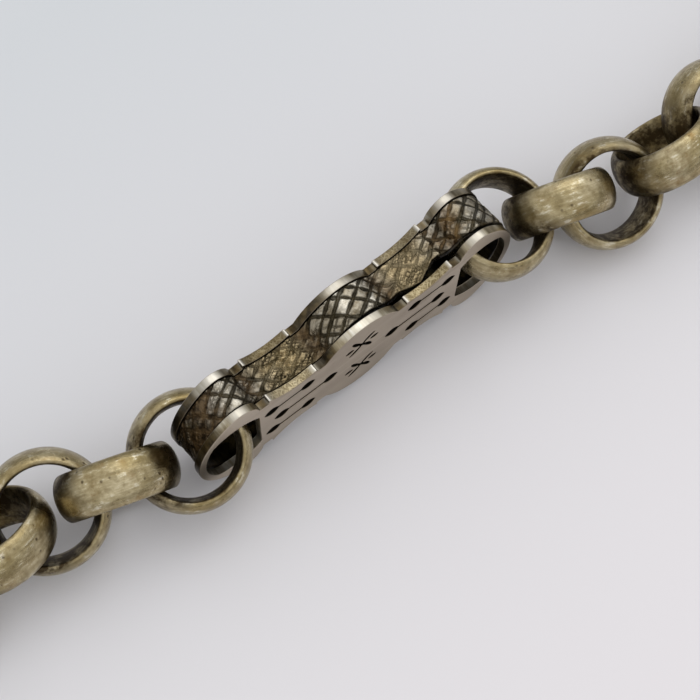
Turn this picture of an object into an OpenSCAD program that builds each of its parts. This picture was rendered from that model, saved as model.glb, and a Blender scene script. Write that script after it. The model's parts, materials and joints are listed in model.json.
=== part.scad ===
// Pocket watch chain: belcher rings, one pierced and engraved fancy link,
// a swivel clip for the watch and a T-bar for the buttonhole, lying on a table.
// Millimetres. +Z is up, the chain runs from the clip along +X to the bar, and
// the origin is the centre of the clip's bow seat.

/* [Belcher rings] */
// Outside diameter of a ring
ring_od = 7.6; // [7.4:0.1:7.8]
// Inside diameter of a ring, at the middle of its slightly crowned inside
ring_bore_d = 5.6; // [5.4:0.05:5.8]
// How far the inside falls away from its middle to the band's edges
ring_crown = 0.225; // [0.15:0.005:0.3]
// Width of the band along the ring's own axis
ring_w = 3.15; // [2.6:0.05:3.2]
// Thickness left at the band's edges, below the domed outside
ring_edge = 0.15; // [0.1:0.05:0.3]

/* [Fancy link plates] */
// Thickness of each pierced plate
plate_t = 0.55; // [0.4:0.05:0.7]
// Distance from the link's middle to the centre of an end lobe
lobe_x = 7.7; // [7.2:0.1:8.4]
// Radius of an end lobe
lobe_r = 4.7; // [4.5:0.05:4.9]
// Radius of the rounded shoulder that ends a lobe
lobe_shoulder_r = 1.5; // [1.2:0.05:1.7]
// Direction in which the shoulder meets the lobe, from the long axis
lobe_shoulder_a = 61; // [57:1:65]
// Radius of the middle lobe's arc
middle_r = 3.53; // [3.3:0.05:3.8]
// Height of the top of the middle lobe above the long axis
middle_h = 3.9; // [3.7:0.05:4.2]
// Half height of the plate in the notch beside the middle lobe
notch_h = 2.5; // [2.4:0.05:2.6]
// Half height in the notch beside an end lobe
far_notch_h = 3.0; // [2.9:0.05:3.2]
// Near end of the hollow-backed step between the two notches
step_x1 = 3.5; // [3.3:0.05:3.7]
// Far end of that step
step_x2 = 7.05; // [6.9:0.05:7.2]
// Where the hollow of the step is lowest
hollow_x = 4.7; // [4.5:0.05:5]
// Radius of that hollow
hollow_r = 3.85; // [3.6:0.05:4.2]
// Height of the hollow's lowest point
hollow_h = 2.6; // [2.55:0.05:2.8]

/* [Holes for the end rings] */
// Centre of the D-shaped hole, from the link's middle
eyelet_x = 9.75; // [9.4:0.05:10]
// Radius of the hole
eyelet_r = 2.75; // [2.6:0.05:2.9]
// Place of the hole's straight inner side
eyelet_flat_x = 7.85; // [7.7:0.05:7.9]
// Metal left between the hole and the lobe's end
eyelet_rim = 0.5; // [0.4:0.05:0.7]

/* [Pierced ornament] */
// Length of one leaf of a cut
leaf_l = 1.15; // [0.9:0.05:1.3]
// Width of a leaf
leaf_w = 0.8; // [0.5:0.05:0.9]
// Width of the slit that joins two leaves
slit_w = 0.2; // [0.14:0.02:0.26]
// Height of the outer cuts above the long axis
cut_z = 1.5; // [1.4:0.05:1.6]
// Near tip of the outer cuts
cut_x1 = 3.65; // [3.5:0.05:3.9]
// Far tip of the outer cuts
cut_x2 = 7.5; // [7.2:0.05:7.55]
// Near tip of the middle cut
stem_x1 = 1.9; // [1.7:0.05:2.2]
// Far tip of the middle cut
stem_x2 = 6.8; // [6.5:0.05:7]
// Height of the crossed sprigs above the long axis
cross_z = 1.55; // [1.45:0.05:1.7]
// Half length of an arm of a sprig
cross_l = 0.97; // [0.9:0.01:1.05]
// Width of an arm
cross_w = 0.28; // [0.2:0.02:0.32]
// Slope of the arms
cross_a = 42; // [38:1:46]
// Place of the dash at each side of a sprig, from the sprig's middle
dash_x = 0.95; // [0.9:0.05:1.1]
// Length of a dash
dash_l = 0.65; // [0.5:0.05:0.7]
// Width of a dash
dash_w = 0.26; // [0.18:0.02:0.3]

/* [Engraved rim strip] */
// Width of the strip between the plates
strip_w = 2.02; // [1.8:0.02:2.3]
// Distance of the front plate's face from the line of the chain
front_y = 1.65; // [1.55:0.05:1.75]
// Angle by which the loosened front plate stands off the strip
link_spread = 1.7; // [0:0.1:1.9]
// How far the strip and the back plate have slipped along the front plate
link_slip = 0.2; // [0:0.05:0.25]
// How far the strip lies below the plates' edges
strip_inset = 0.3; // [0.2:0.05:0.4]
// Thickness of the strip
strip_t = 0.45; // [0.3:0.05:0.6]

/* [T-bar] */
// Length of the bar over its rounded ends
bar_l = 32; // [28:1:38]
// Diameter of the bar
bar_d = 2.8; // [2.4:0.1:3.2]
// Diameter of the turned-down seat under the sleeve
bar_seat_d = 2.4; // [2.2:0.05:2.4]
// Diameter of the sleeve at its middle
sleeve_d = 3.9; // [3.6:0.1:4.4]
// Length of the sleeve
sleeve_l = 4.2; // [3.6:0.1:5]
// Bead at each end of the sleeve
bead_d = 0.9; // [0.7:0.05:1.1]
// Outside diameter of the bar's eye
bar_eye_od = 7.2; // [6.8:0.1:7.8]
// Wire of the bar's eye
bar_eye_wire = 1.3; // [1.1:0.1:1.5]
// How deep the eye is seated on the sleeve
eye_bite = 0.3; // [0.2:0.05:0.4]

/* [Swivel clip] */
// Outside diameter of the swivel's eye
swivel_eye_od = 7.2; // [6.8:0.1:7.8]
// Wire of the swivel's eye
swivel_eye_wire = 1.3; // [1.1:0.1:1.5]
// Diameter of the swivel's post
post_d = 1.7; // [1.4:0.1:2]
// Diameter of the head that holds the post in the collar
head_d = 2.6; // [2.3:0.1:2.8]
// Thickness of that head
head_t = 0.6; // [0.4:0.05:0.8]
// Running clearance round the post, on the radius
post_gap = 0.06; // [0.03:0.01:0.1]
// Endways clearance of the swivel
end_gap = 0.15; // [0.1:0.05:0.25]
// Diameter of the collar
collar_d = 3.9; // [3.6:0.1:4.6]
// Length of the collar
collar_l = 2.4; // [2:0.1:3]
// Radius of the seat for the watch's bow
seat_r = 3.1; // [2.9:0.05:3.4]
// Wall of the hook
hook_wall = 1.5; // [1.3:0.05:1.7]
// Thickness of the hook
hook_t = 2.8; // [2.6:0.1:3.2]
// Distance from the collar to the centre of the seat
seat_x = 10; // [9.5:0.1:11]
// Distance from the collar's outer end to the centre of the throat
throat_x = 4.3; // [4.1:0.1:4.6]
// Radius of the throat, where the swivel's head turns
throat_r = 1.5; // [1.4:0.05:1.7]
// Place of the gate's pin along the hook's side
pin_u = 0.6; // [0.5:0.05:0.8]
// Length of the gate from its pin to its tip's outer corner
gate_l = 4.6; // [4.3:0.1:5]
// Overlap of the gate's slanted tip behind the hook's nose
gate_scarf = 0.7; // [0.4:0.05:0.9]
// Radius of the thumb nub on the gate
nub_r = 0.7; // [0.5:0.05:0.8]
// Metal of an ear beyond the hook's wall
ear_rim = 0.2; // [0.1:0.05:0.3]
// How far the pin stands out of each ear
pin_stand = 0.1; // [0.05:0.05:0.2]
// Diameter of the gate's pin
pin_d = 1.0; // [0.8:0.1:1.1]
// Running clearance of the gate, on its pin and beside its ears
gate_gap = 0.08; // [0.04:0.01:0.1]
// Thickness of the gate's knuckle between the ears
knuckle_t = 1.2; // [1:0.1:1.4]
// Gap between the gate's free end and the hook's tip
tip_gap = 0.2; // [0.1:0.05:0.3]

/* [Hidden] */
$fn = 64;
eps = 0.01;
ring_r = ring_od / 2;
bore_r = ring_bore_d / 2;
lip_r = bore_r + ring_crown;
edge_r = lip_r + ring_edge;
dome_h = ring_r - edge_r;
function arc_r(rise) = (pow(ring_w / 2, 2) + pow(rise, 2)) / (2 * rise);
dome_r = arc_r(dome_h);
crown_r = arc_r(ring_crown);
// Spacing of two rings drawn tight: the band's corners bear on the next bore
taut = lip_r + sqrt(pow(lip_r, 2) - pow(ring_w / 2, 2));

tangent_x = lobe_x + lobe_r * cos(lobe_shoulder_a);
shoulder_at = [for (k = [cos(lobe_shoulder_a), sin(lobe_shoulder_a)]) (lobe_r - lobe_shoulder_r) * k];
link_h = shoulder_at[1] + lobe_shoulder_r;
middle_z = middle_h - middle_r;
shoulder_x = lobe_x + shoulder_at[0];
strip_y = plate_t - front_y;
// How far the bar, and the link's lobes, stand off the table as the chain lies
table_gap = 0.05;
link_gap = 0.17;
link_z = link_h + link_gap;

// The length that a slack, lift or drop of 1 stands for in the lie of the chain
lie_step = 1;
// Where a lying ring's lowest point is, below its centre, when it leans by a
function low(a) = max(ring_r * abs(sin(a)), edge_r * abs(sin(a)) + ring_w / 2 * abs(cos(a)));

// The lie of the chain, each way from the link. Each row is one ring: how far it
// is short of the taut spacing, the course to it from the ring before, how high
// it is held off the table, its turn about the vertical, its pitch and its lean.
left_lie = [
    [1, 164, 0.31, -17, 4, -71],
    [1.2, 165, 0.9, -6, -2, 30],
    [2.1, 172, 0.57, -2, 3, -38],
    [1.05, -176, 0.64, -2, 1, 45],
    [1, 180, 0.41, -1, 0, -53]
];
right_lie = [
    [1.05, -17, 0.43, -15, 5, -66],
    [1.95, -20, 0.18, -13, -5, 39],
    [0.75, -5, 0.86, 8, 5, -52],
    [0.85, 2, 0.98, 2, -1, 39],
    [1, 1, 0.42, 1, 1, -58],
    [1.05, 2, 0.79, 1, 0, 27]
];
// The two rings in the link itself: distance from the link's middle, drop below
// its middle height, turn, pitch and lean
left_first = [-11.95, 0.2, 6, -8, 21];
right_first = [12.75, 0.2, -5, 2, 14];

function heading(a) = [cos(a), sin(a), 0];
function flat(p) = [p[0], p[1], 0];
function first_centre(f) = [f[0] * lie_step, 0, link_z - f[1] * lie_step];
function step_to(p, row) = flat(p) + (taut - row[0] * lie_step) * heading(row[1])
    + [0, 0, low(row[5]) + row[2] * lie_step];
function centre(f, lie, i) = i == 0 ? first_centre(f) : step_to(centre(f, lie, i - 1), lie[i - 1]);
function attitude(f, lie, i) = i == 0 ? [f[4], f[3], f[2]] : [lie[i - 1][5], lie[i - 1][4], lie[i - 1][3]];
// A vector turned as rotate() turns a shape: about x, then y, then z
function turn_x(v, a) = [v[0], v[1] * cos(a) - v[2] * sin(a), v[1] * sin(a) + v[2] * cos(a)];
function turn_y(v, a) = [v[0] * cos(a) + v[2] * sin(a), v[1], v[2] * cos(a) - v[0] * sin(a)];
function turn_z(v, a) = [v[0] * cos(a) - v[1] * sin(a), v[0] * sin(a) + v[1] * cos(a), v[2]];
function turned(v, r) = turn_z(turn_y(turn_x(v, r[0]), r[1]), r[2]);

left_n = len(left_lie);
right_n = len(right_lie);
last_left = centre(left_first, left_lie, left_n);
last_left_turn = attitude(left_first, left_lie, left_n);
last_right = centre(right_first, right_lie, right_n);

// The swivel's eye hangs in the last ring on the left, turned down towards the table
swivel_eye_r = swivel_eye_od / 2;
swivel_slack = 1;
swivel_lean = 35;
swivel_hang = 30;
function eye_taut(r) = lip_r + sqrt(pow(r, 2) - pow(ring_w / 2, 2));
swivel_reach = eye_taut(swivel_eye_r - swivel_eye_wire) - swivel_slack;
swivel_eye_at = last_left + swivel_reach
    * turned([-cos(swivel_hang), sin(swivel_hang), 0], last_left_turn);
post_root = swivel_eye_r - swivel_eye_wire / 2;
collar_x = swivel_eye_r + end_gap;
head_x = collar_x + collar_l + end_gap;
// Everything is set so that the bow seat's centre is the origin
origin_at = swivel_eye_at - [collar_x + seat_x, 0, 0];

// The bar's eye stands on the table in the last ring on the right
bar_eye_r = bar_eye_od / 2;
bar_slack = 1.1;
bar_reach = eye_taut(bar_eye_r - bar_eye_wire) - bar_slack;
bar_eye_at = flat(last_right) + [bar_reach, 0, bar_eye_r + table_gap];
arm_l = (bar_l - bar_d - sleeve_l) / 2;
bar_z = sleeve_d / 2 + table_gap;
bar_gap = bar_eye_r + sleeve_d / 2 - eye_bite;
bar_drop = bar_eye_at[2] - bar_z;
bar_at = bar_eye_at + [sqrt(pow(bar_gap, 2) - pow(bar_drop, 2)), 0, -bar_drop];

// The hook is a pear: a small round at the collar and a large one at the seat,
// with straight sides that slope outwards
hook_r = seat_r + hook_wall;
neck_r = throat_r + hook_wall;
hook_l = seat_x - throat_x;
side_slope = asin((seat_r - throat_r) / hook_l);
ear_r = hook_wall / 2 + ear_rim;
pin_v = -(throat_r + hook_wall / 2);
pin_at = [
    throat_x + pin_u * cos(side_slope) + pin_v * sin(side_slope),
    pin_v * cos(side_slope) - pin_u * sin(side_slope)
];
gate_root = pin_u + ear_r + gate_gap;
gate_end = pin_u + gate_l;

RINGS_LEFT = [for (i = [0:left_n]) str("ring_left_", i + 1)];
RINGS_RIGHT = [for (i = [0:right_n]) str("ring_right_", i + 1)];

// Prints every pivot: its ring's centre and axis, in the part's frame
for (side = [0, 1], i = [0:side == 0 ? left_n : right_n]) {
    f = side == 0 ? left_first : right_first;
    lie = side == 0 ? left_lie : right_lie;
    echo(pivot = str(side == 0 ? "ring_left_" : "ring_right_", i + 1),
        at = centre(f, lie, i) - origin_at,
        axis = turned([0, 0, 1], attitude(f, lie, i)));
}
echo(pivot = "link", at = [0, 0, link_z] - origin_at, bar = bar_at - origin_at);
echo(pivot = "clip", eye = swivel_eye_at - origin_at, pin = [seat_x - pin_at[0], -pin_at[1], 0]);

module ring_band() {
    rotate_extrude() intersection() {
        translate([bore_r, -ring_w / 2]) square([ring_r - bore_r, ring_w]);
        translate([ring_r - dome_r, 0]) circle(dome_r);
        translate([bore_r + crown_r, 0]) circle(crown_r);
    }
}

module ring(f, lie, i) {
    color("darkkhaki")
        translate(centre(f, lie, i) - origin_at)
            rotate(attitude(f, lie, i)) ring_band();
}

// One quarter of the plate's scalloped outline, drawn in by a distance
module outline_quarter(inset) {
    shoulder_r = lobe_shoulder_r - inset;
    square([tangent_x, notch_h - inset]);
    translate([step_x2 - inset - eps, 0]) square([tangent_x - step_x2 + inset, far_notch_h - inset]);
    intersection() {
        translate([lobe_x, 0]) circle(lobe_r - inset);
        translate([tangent_x - eps, 0]) square(2 * lobe_r);
    }
    translate([shoulder_x, shoulder_at[1]]) circle(shoulder_r);
    translate([shoulder_x - shoulder_r, 0]) square([tangent_x - shoulder_x + shoulder_r, shoulder_at[1]]);
    intersection() {
        translate([0, middle_z]) circle(middle_r - inset);
        square(2 * middle_r);
    }
    difference() {
        translate([step_x1 + inset, 0]) square([step_x2 - step_x1 - 2 * inset, hollow_h + hollow_r]);
        translate([hollow_x, hollow_h + hollow_r]) circle(hollow_r + inset);
    }
}

module link_outline(inset = 0) {
    for (sx = [0, 1], sz = [0, 1])
        mirror([sx, 0]) mirror([0, sz]) outline_quarter(inset);
}

module leaf(l, w) {
    r = (pow(l / 2, 2) + pow(w / 2, 2)) / w;
    intersection() {
        translate([0, r - w / 2]) circle(r);
        translate([0, w / 2 - r]) circle(r);
    }
}

// Two leaves, tip outwards, joined by a slit
module leafy_cut(x1, x2) {
    for (x = [x1 + leaf_l / 2, x2 - leaf_l / 2]) translate([x, 0]) leaf(leaf_l, leaf_w);
    translate([x1 + leaf_l / 2, -slit_w / 2]) square([x2 - x1 - leaf_l, slit_w]);
}

// A crossed sprig with a dash at each side
module crossed_cut() {
    for (a = [-cross_a, cross_a]) rotate(a) leaf(2 * cross_l, cross_w);
    for (s = [-1, 1]) translate([s * dash_x, 0]) leaf(dash_l, dash_w);
}

module eyelet() {
    intersection() {
        translate([eyelet_x, 0]) circle(eyelet_r);
        translate([lobe_x, 0]) circle(lobe_r - eyelet_rim);
        translate([eyelet_flat_x, -lobe_r]) square(2 * lobe_r);
    }
}

module pierced_plate() {
    linear_extrude(plate_t) difference() {
        link_outline();
        for (s = [0, 1]) mirror([s, 0]) {
            eyelet();
            leafy_cut(stem_x1, stem_x2);
            for (z = [-cut_z, cut_z]) translate([0, z]) leafy_cut(cut_x1, cut_x2);
        }
        for (z = [-cross_z, cross_z]) translate([0, z]) crossed_cut();
    }
}

// The link stands on its edge: the plate's drawing plane becomes the XZ plane
module upright(y) {
    translate([0, y, link_z] - origin_at) rotate([90, 0, 0]) children();
}

// The strip and the back plate, slipped along the front plate and turned off it
// about the strip's left end
module loosened() {
    end = [strip_inset - lobe_x - lobe_r, strip_y, 0] - origin_at;
    translate(end + [link_slip, 0, 0]) rotate([0, 0, link_spread]) translate(-end) children();
}

module front_plate() {
    color("gray") upright(strip_y) pierced_plate();
}

module back_plate() {
    color("gray") loosened() upright(strip_y + strip_w + plate_t) pierced_plate();
}

module rim_strip() {
    color("silver") loosened() upright(strip_y + strip_w) linear_extrude(strip_w) difference() {
        link_outline(strip_inset);
        link_outline(strip_inset + strip_t);
    }
}

module wire_ring(od, wire) {
    rotate_extrude() translate([od / 2 - wire / 2, 0]) circle(d = wire);
}

// A rod along Y
module across(d, l) {
    rotate([90, 0, 0]) cylinder(d = d, h = l, center = true);
}

module bar() {
    color("darkkhaki") translate(bar_at - origin_at) {
        across(bar_seat_d, sleeve_l + arm_l);
        for (s = [-1, 1]) translate([0, s * (sleeve_l + arm_l) / 2, 0]) {
            across(bar_d, arm_l);
            translate([0, s * arm_l / 2, 0]) sphere(d = bar_d);
        }
    }
}

// A plain band for the eye, between two beads
module bar_sleeve() {
    color("darkkhaki") translate(bar_at - origin_at) rotate([90, 0, 0]) difference() {
        union() {
            cylinder(d = sleeve_d, h = sleeve_l - 2 * bead_d, center = true);
            cylinder(d = bar_d + bead_d / 2, h = sleeve_l - bead_d, center = true);
            for (s = [-1, 1]) translate([0, 0, s * (sleeve_l - bead_d) / 2]) rotate_extrude() {
                translate([bar_d / 2, 0]) circle(d = bead_d);
                translate([0, -bead_d / 2]) square([bar_d / 2, bead_d]);
            }
        }
        cylinder(d = bar_seat_d, h = 2 * sleeve_l, center = true);
    }
}

module bar_eye() {
    color("darkkhaki") difference() {
        translate(bar_eye_at - origin_at) rotate([90, 0, 0]) wire_ring(bar_eye_od, bar_eye_wire);
        translate(bar_at - origin_at) across(sleeve_d, sleeve_l);
    }
}

// The clip lies flat and points along -X: its own x runs out from the swivel's eye
module at_clip(x = 0) {
    translate(swivel_eye_at - origin_at) rotate([0, 0, 180]) translate([x, 0, 0]) children();
}

module along(x, d, l) {
    translate([x, 0, 0]) rotate([0, 90, 0]) cylinder(d = d, h = l);
}

module swivel_eye() {
    color("darkkhaki") at_clip() {
        rotate([-swivel_lean, 0, 0]) wire_ring(swivel_eye_od, swivel_eye_wire);
        along(post_root, post_d, head_x - post_root + head_t / 2);
        along(head_x, head_d, head_t);
    }
}

// Outline between two rounds on the clip's axis, with its tangent sides
module pear(r1, r2) {
    a = 90 + side_slope;
    translate([throat_x, 0]) circle(r1);
    translate([seat_x, 0]) circle(r2);
    polygon([
        for (s = [1, -1]) [throat_x + r1 * cos(a), s * r1 * sin(a)],
        for (s = [-1, 1]) [seat_x + r2 * cos(a), s * r2 * sin(a)]
    ]);
}

// Drawing plane of the hook's gated side: u runs along it from the throat
module on_side() {
    translate([throat_x, 0]) rotate(-side_slope) children();
}

// The length of the side from one u to a slanted end, with margins across it
module side_bar(u1, u2, margin) {
    lean = gate_scarf / hook_wall;
    polygon([
        [u1, -neck_r - margin],
        [u2 - lean * margin, -neck_r - margin],
        [u2 + gate_scarf + lean * margin, margin - throat_r],
        [u1, margin - throat_r]
    ]);
}

module slab(t) {
    translate([0, 0, -t / 2]) linear_extrude(t) children();
}

module at_pin() {
    on_side() translate([pin_u, pin_v]) children();
}

module clip_body() {
    color("darkkhaki") at_clip(collar_x) difference() {
        union() {
            along(0, collar_d, collar_l);
            slab(hook_t) {
                difference() {
                    pear(neck_r, hook_r);
                    pear(throat_r, seat_r);
                    on_side() side_bar(pin_u, gate_end + tip_gap, hook_wall / 3);
                }
                at_pin() circle(ear_r);
            }
        }
        along(-eps, post_d + 2 * post_gap, throat_x);
        along(collar_l, head_d + 2 * end_gap, throat_x - collar_l);
        slab(2 * hook_t) at_pin() circle(d = pin_d);
        slab(knuckle_t + 2 * gate_gap) at_pin() circle(ear_r + gate_gap);
    }
}

module clip_gate() {
    color("darkkhaki") at_clip(collar_x) difference() {
        union() {
            slab(hook_t) on_side() {
                side_bar(gate_root, gate_end, 0);
                intersection() {
                    translate([gate_end - 2 * nub_r, -neck_r]) circle(nub_r);
                    translate([gate_root, -2 * neck_r]) square([gate_l, 2 * neck_r - throat_r]);
                }
            }
            slab(knuckle_t) {
                at_pin() circle(ear_r);
                on_side() side_bar(pin_u, gate_end, 0);
            }
        }
        slab(2 * hook_t) at_pin() circle(d = pin_d + 2 * gate_gap);
    }
}

module gate_pin() {
    color("silver") at_clip(collar_x) slab(hook_t + 2 * pin_stand) at_pin() circle(d = pin_d);
}

front_plate();
back_plate();
rim_strip();
for (i = [0:left_n])
    ring(left_first, left_lie, i);
for (i = [0:right_n])
    ring(right_first, right_lie, i);
bar();
bar_sleeve();
bar_eye();
swivel_eye();
clip_body();
clip_gate();
gate_pin();
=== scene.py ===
"""Pocket watch chain lying on a pale table: belcher rings, a pierced and engraved
fancy link, a swivel clip and a T-bar. Lengths in the shape functions are millimetres."""

import json
import bmesh
import bpy
import numpy as np
from mathutils import Matrix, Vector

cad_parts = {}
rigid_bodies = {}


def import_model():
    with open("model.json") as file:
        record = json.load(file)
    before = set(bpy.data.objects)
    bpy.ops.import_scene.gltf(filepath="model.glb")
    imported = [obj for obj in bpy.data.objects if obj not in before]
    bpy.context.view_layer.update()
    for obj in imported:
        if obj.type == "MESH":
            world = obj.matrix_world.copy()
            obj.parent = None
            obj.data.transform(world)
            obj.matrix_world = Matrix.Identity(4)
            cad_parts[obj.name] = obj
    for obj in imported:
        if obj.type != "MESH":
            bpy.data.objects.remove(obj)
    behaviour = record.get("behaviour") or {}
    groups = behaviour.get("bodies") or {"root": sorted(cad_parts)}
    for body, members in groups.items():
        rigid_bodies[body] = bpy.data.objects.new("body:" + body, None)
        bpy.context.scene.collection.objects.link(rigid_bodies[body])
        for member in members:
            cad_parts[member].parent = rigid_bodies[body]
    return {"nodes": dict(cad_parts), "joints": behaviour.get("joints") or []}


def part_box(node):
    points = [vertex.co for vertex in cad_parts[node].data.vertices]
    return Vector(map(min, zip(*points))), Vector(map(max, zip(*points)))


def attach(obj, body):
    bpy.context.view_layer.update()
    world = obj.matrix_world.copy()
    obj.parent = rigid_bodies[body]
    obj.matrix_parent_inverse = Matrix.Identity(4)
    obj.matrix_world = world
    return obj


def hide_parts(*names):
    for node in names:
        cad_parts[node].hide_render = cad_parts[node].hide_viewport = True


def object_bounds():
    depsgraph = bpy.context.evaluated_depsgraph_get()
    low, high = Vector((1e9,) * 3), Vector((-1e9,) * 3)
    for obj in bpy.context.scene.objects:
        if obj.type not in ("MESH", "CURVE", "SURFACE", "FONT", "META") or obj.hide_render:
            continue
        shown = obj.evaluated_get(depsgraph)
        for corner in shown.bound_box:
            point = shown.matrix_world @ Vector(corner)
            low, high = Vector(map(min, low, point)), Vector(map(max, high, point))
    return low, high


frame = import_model()
cad_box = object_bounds()
MM = 0.001
nodes = frame["nodes"]


# Places taken from the frame

# The pivot of a joint is the centre of the ring that the joint turns on
ring_place = {
    j["parent"]: (np.array(j["pos_m"]) / MM, np.array(j["axis"]))
    for j in frame["joints"]
    if j["parent"].startswith("ring_")
}
joint_at = {j["name"]: np.array(j["pos_m"]) / MM for j in frame["joints"]}
front_lo, front_hi = (np.array(c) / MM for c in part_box("front_plate"))
PLATE_T = front_hi[1] - front_lo[1]
# From the front plate's outer face back to the link's own origin
FRONT_Y = 1.65
LINK_AT = (front_lo + front_hi) / 2
LINK_AT[1] = front_lo[1] + FRONT_Y
# The table lies just below the lowest point of the chain
TABLE_GAP = 0.03
table_z = cad_box[0][2] / MM - TABLE_GAP


# Mesh helpers

# A direction that no piece's axis lies along
ASKEW = (0.31, 0.22, 0.93)


def put_in_scene(name, data):
    """A new object that holds the given data, in the scene's own collection."""
    thing = bpy.data.objects.new(name, data)
    bpy.context.scene.collection.objects.link(thing)
    return thing


def closed_sweep(name, points, attributes=None):
    """A grid of points that closes on itself both ways: rows run along the path, columns round the
    section, and the faces are turned outwards. Attributes are one value for each grid point."""
    rows, cols = points.shape[:2]
    i, j = np.meshgrid(np.arange(rows), np.arange(cols), indexing="ij")
    i2, j2 = (i + 1) % rows, (j + 1) % cols
    quads = np.stack([i * cols + j, i2 * cols + j, i2 * cols + j2, i * cols + j2], -1).reshape(-1, 4)
    a, b, c, d = np.moveaxis(points.reshape(-1, 3)[quads], 1, 0)
    volume = np.sum(a * (np.cross(b, c) + np.cross(c, d)))
    quads = quads if volume > 0 else quads[:, ::-1]
    return grid_mesh(name, points.reshape(-1, 3), quads, attributes)


def grid_mesh(name, verts, quads, attributes=None, tris=np.empty((0, 3), int)):
    """A smooth mesh from an array of points and arrays of four- and three-cornered faces."""
    mesh = bpy.data.meshes.new(name)
    mesh.vertices.add(len(verts))
    mesh.vertices.foreach_set("co", (np.asarray(verts) * MM).astype(np.float32).ravel())
    mesh.loops.add(quads.size + tris.size)
    mesh.loops.foreach_set("vertex_index", np.r_[quads.ravel(), tris.ravel()].astype(np.int32))
    mesh.polygons.add(len(quads) + len(tris))
    starts = np.r_[np.arange(len(quads)) * 4, quads.size + np.arange(len(tris)) * 3]
    mesh.polygons.foreach_set("loop_start", starts.astype(np.int32))
    mesh.polygons.foreach_set("use_smooth", np.ones(len(starts), dtype=bool))
    for key, values in (attributes or {}).items():
        point_values(mesh, key, values)
    mesh.update(calc_edges=True)
    mesh.validate()
    return put_in_scene(name, mesh)


def point_values(mesh, key, values):
    """Gives a mesh one number, or one vector, for each of its points."""
    vector = values.shape[-1] == 3 and values.size == 3 * len(mesh.vertices)
    layer = mesh.attributes.new(key, "FLOAT_VECTOR" if vector else "FLOAT", "POINT")
    layer.data.foreach_set("vector" if vector else "value", np.asarray(values, np.float32).ravel())


def dress(piece, node, body):
    """Puts a piece in the place of a node, on that node's body."""
    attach(piece, body)
    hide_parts(node)


def square_to(axis):
    """Two unit directions square to an axis and to each other."""
    out = np.cross(axis, ASKEW)
    out /= np.linalg.norm(out)
    return out, np.cross(axis, out)


def turned(name, profile, centre, axis, count=96):
    """A profile of (place along the axis, radius) turned round the axis; both its ends lie on the axis."""
    axis = np.asarray(axis, float)
    turn = np.linspace(0, 2 * np.pi, count, endpoint=False)
    out, side = square_to(axis)
    radial = np.cos(turn)[:, None] * out + np.sin(turn)[:, None] * side
    t, r = profile[1:-1, 0, None, None], profile[1:-1, 1, None, None]
    body = (centre + t * axis + r * radial).reshape(-1, 3)
    tips = centre + profile[[0, -1], :1] * axis
    rows = len(profile) - 2
    i, j = np.meshgrid(np.arange(rows - 1), np.arange(count), indexing="ij")
    j2 = (j + 1) % count
    quads = np.stack([i * count + j, i * count + j2, (i + 1) * count + j2, (i + 1) * count + j], -1)
    j, first, last = np.arange(count), rows * count, (rows - 1) * count
    j2 = (j + 1) % count
    tris = np.vstack([
        np.stack([np.full(count, first), j2, j], -1),
        np.stack([np.full(count, first + 1), last + j, last + j2], -1),
    ])
    return grid_mesh(name, np.vstack([body, tips]), quads.reshape(-1, 4), tris=tris)


def round_sweep(section, centre, axis, rows, waver=0.0):
    """A closed section of (radius, height) points carried round an axis: gives the points, and the same
    points in the ring's own directions."""
    turn = np.linspace(0, 2 * np.pi, rows, endpoint=False)[:, None]
    reach, height = section[None, :, 0] + waver, section[None, :, 1] + 0 * turn
    own = np.stack([reach * np.cos(turn), reach * np.sin(turn), height], -1)
    return centre + own @ np.stack([*square_to(axis), axis]), own


def closed_smooth(path, step, width):
    """A closed path with each point replaced by a mean of its neighbours, weighted by a bell curve of the
    given width that is cut off at three widths."""
    n = max(1, int(3 * width / step))
    offsets = np.arange(-n, n + 1)
    weights = np.exp(-0.5 * (offsets * step / width) ** 2)
    weights /= weights.sum()
    return sum(w * np.roll(path, -k, axis=0) for k, w in zip(offsets, weights))


def even_path(path, count):
    """The same closed path, with points at even steps along it, and its length."""
    ring = np.vstack([path, path[:1]])
    length = np.r_[0, np.cumsum(np.linalg.norm(np.diff(ring, axis=0), axis=1))]
    at = np.linspace(0, length[-1], count, endpoint=False)
    return np.stack([np.interp(at, length, ring[:, k]) for k in range(ring.shape[1])], -1), length[-1]


def worn_loop(path, fine, width, count):
    """A closed path with its corners worn round: laid out in fine even steps, smoothed over a width and
    given points at even steps again."""
    loop, length = even_path(path, fine)
    return even_path(closed_smooth(loop, length / fine, width), count)[0]


def arc(cx, cz, r, a1, a2, n=60):
    """Points on an arc, angles in radians."""
    a = np.linspace(a1, a2, n)
    return np.stack([cx + r * np.cos(a), cz + r * np.sin(a)], -1)


def hump(x, centre, half, power=4):
    """1 near a place and 0 away from it: e to the minus of ((x - centre) / half) to an even power."""
    return np.exp(-(((x - centre) / half) ** power))


def lattice(p, seed):
    """Smooth noise, mostly between -1 and 1: a sum of seven sines in turned directions, each a little
    shorter and weaker than the one before it."""
    rng = np.random.default_rng(seed)
    total = np.zeros(p.shape[:-1])
    for k in range(7):
        d = rng.normal(size=p.shape[-1])
        d *= (0.7 + 0.22 * k) / np.linalg.norm(d)
        total += np.sin(p @ d + rng.uniform(0, 6.28)) / (1 + 0.25 * k)
    return total / 3.2


# Materials

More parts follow.
